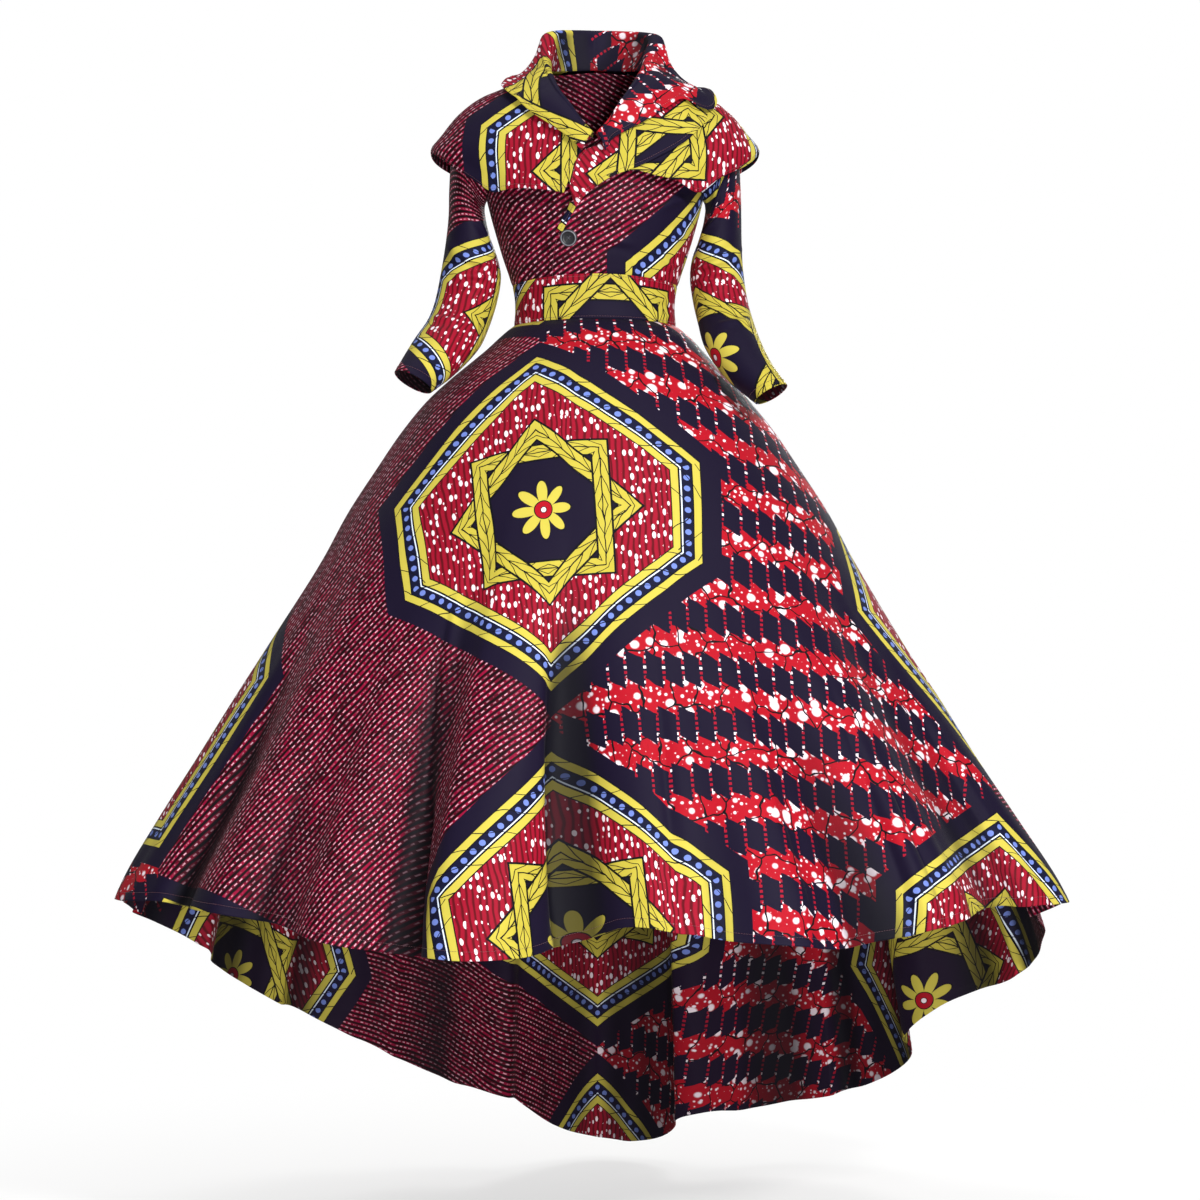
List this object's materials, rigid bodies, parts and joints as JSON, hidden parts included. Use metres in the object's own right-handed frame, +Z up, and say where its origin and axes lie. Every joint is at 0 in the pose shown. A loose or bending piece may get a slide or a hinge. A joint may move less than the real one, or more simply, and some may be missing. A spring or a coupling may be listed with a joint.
{
  "type": "worn wrap-front high-low wax print dress, with no wearer",
  "caption": "Fitted wrap dress with a cape collar, winged shoulders, three-quarter sleeves, arched waistband and a full skirt longer at the back.",
  "frame": {"origin": "midway between the shoulders, level with the base of the neck, where the dress hangs from its wearer", "axes": "+Z up; the front faces -Y; +X is the wearer's left"},
  "size_m": [1.3136, 1.0562, 1.6406],
  "materials": {
    "bodice_front_left": "matte",
    "bodice_front_right": "matte",
    "bodice_back": "matte",
    "waistband_front": "matte",
    "waistband_back": "matte",
    "skirt_front": "matte",
    "skirt_back_left": "matte",
    "skirt_back_right": "matte",
    "sleeve_left": "matte",
    "sleeve_right": "matte",
    "cape_left": "matte",
    "cape_right": "matte",
    "lapel_left": "matte",
    "collar": "matte",
    "button": "satin"
  },
  "bodies": {
    "root": {"bodice_front_left": "bodice_front_left", "bodice_front_right": "bodice_front_right", "bodice_back": "bodice_back", "waistband_front": "waistband_front", "waistband_back": "waistband_back", "skirt_front": "skirt_front", "skirt_back_left": "skirt_back_left", "skirt_back_right": "skirt_back_right", "sleeve_left": "sleeve_left", "sleeve_right": "sleeve_right", "cape_left": "cape_left", "cape_right": "cape_right", "lapel_left": "lapel_left", "collar": "collar", "button": "button"}
  },
  "joints": []
}
